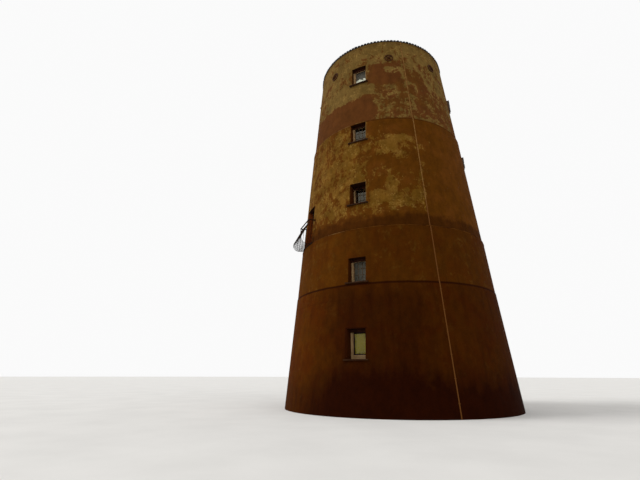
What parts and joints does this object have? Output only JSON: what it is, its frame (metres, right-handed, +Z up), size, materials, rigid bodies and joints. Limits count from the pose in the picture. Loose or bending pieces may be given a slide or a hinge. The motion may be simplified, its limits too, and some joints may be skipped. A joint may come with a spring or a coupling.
{
  "type": "round masonry windmill tower",
  "caption": "Tall battered round tower of rendered masonry with small sash windows, iron tie plates, a pot-bellied iron balcony and a low parapet.",
  "frame": {"origin": "centre of the tower's foot, at ground level", "axes": "+Z up; the front column of windows faces -Y and the landing windows face +X"},
  "size_m": [11.7736, 11.7736, 20.33],
  "materials": {
    "base_render": "damp stained render",
    "lower_render": "streaked render",
    "middle_render": "patched render",
    "upper_render": "weathered render",
    "coping_stone": "weathered",
    "floor_stone": "worn",
    "floor_timber": "waxed",
    "roof_asphalt": "matt",
    "frame_paint": "painted",
    "window_glass": "clear",
    "sill_slate": "weathered",
    "landing_paint": "painted",
    "door_paint": "dark painted",
    "balcony_iron": "satin",
    "entrance_timber": "stained",
    "tie_iron": "rusted",
    "conductor_strip": "dull"
  },
  "bodies": {
    "root": {"base_wall_front": "base_render", "base_wall_right": "base_render", "base_wall_back": "base_render", "base_wall_left": "base_render", "lower_wall_front": "lower_render", "lower_wall_right": "lower_render", "lower_wall_back": "lower_render", "lower_wall_left": "lower_render", "second_wall_front": "middle_render", "second_wall_right": "middle_render", "second_wall_back": "middle_render", "second_wall_left": "middle_render", "third_wall_front": "middle_render", "third_wall_right": "middle_render", "third_wall_back": "middle_render", "third_wall_left": "middle_render", "upper_wall_front": "upper_render", "upper_wall_right": "upper_render", "upper_wall_back": "upper_render", "upper_wall_left": "upper_render", "coping": "coping_stone", "ground_floor": "floor_stone", "first_floor": "floor_timber", "second_floor": "floor_timber", "third_floor": "floor_timber", "fourth_floor": "floor_timber", "roof_deck": "roof_asphalt", "window_frames": "frame_paint", "window_sashes": "frame_paint", "window_panes": "window_glass", "window_sills": "sill_slate", "landing_frames": "landing_paint", "landing_panes": "window_glass", "balcony_frame": "door_paint", "balcony_doors": "door_paint", "balcony_panes": "window_glass", "balcony_platform": "balcony_iron", "balcony_rails": "balcony_iron", "balcony_balusters": "balcony_iron", "entrance_frame": "entrance_timber", "entrance_door": "entrance_timber", "tie_plates": "tie_iron", "conductor": "conductor_strip"}
  },
  "joints": []
}
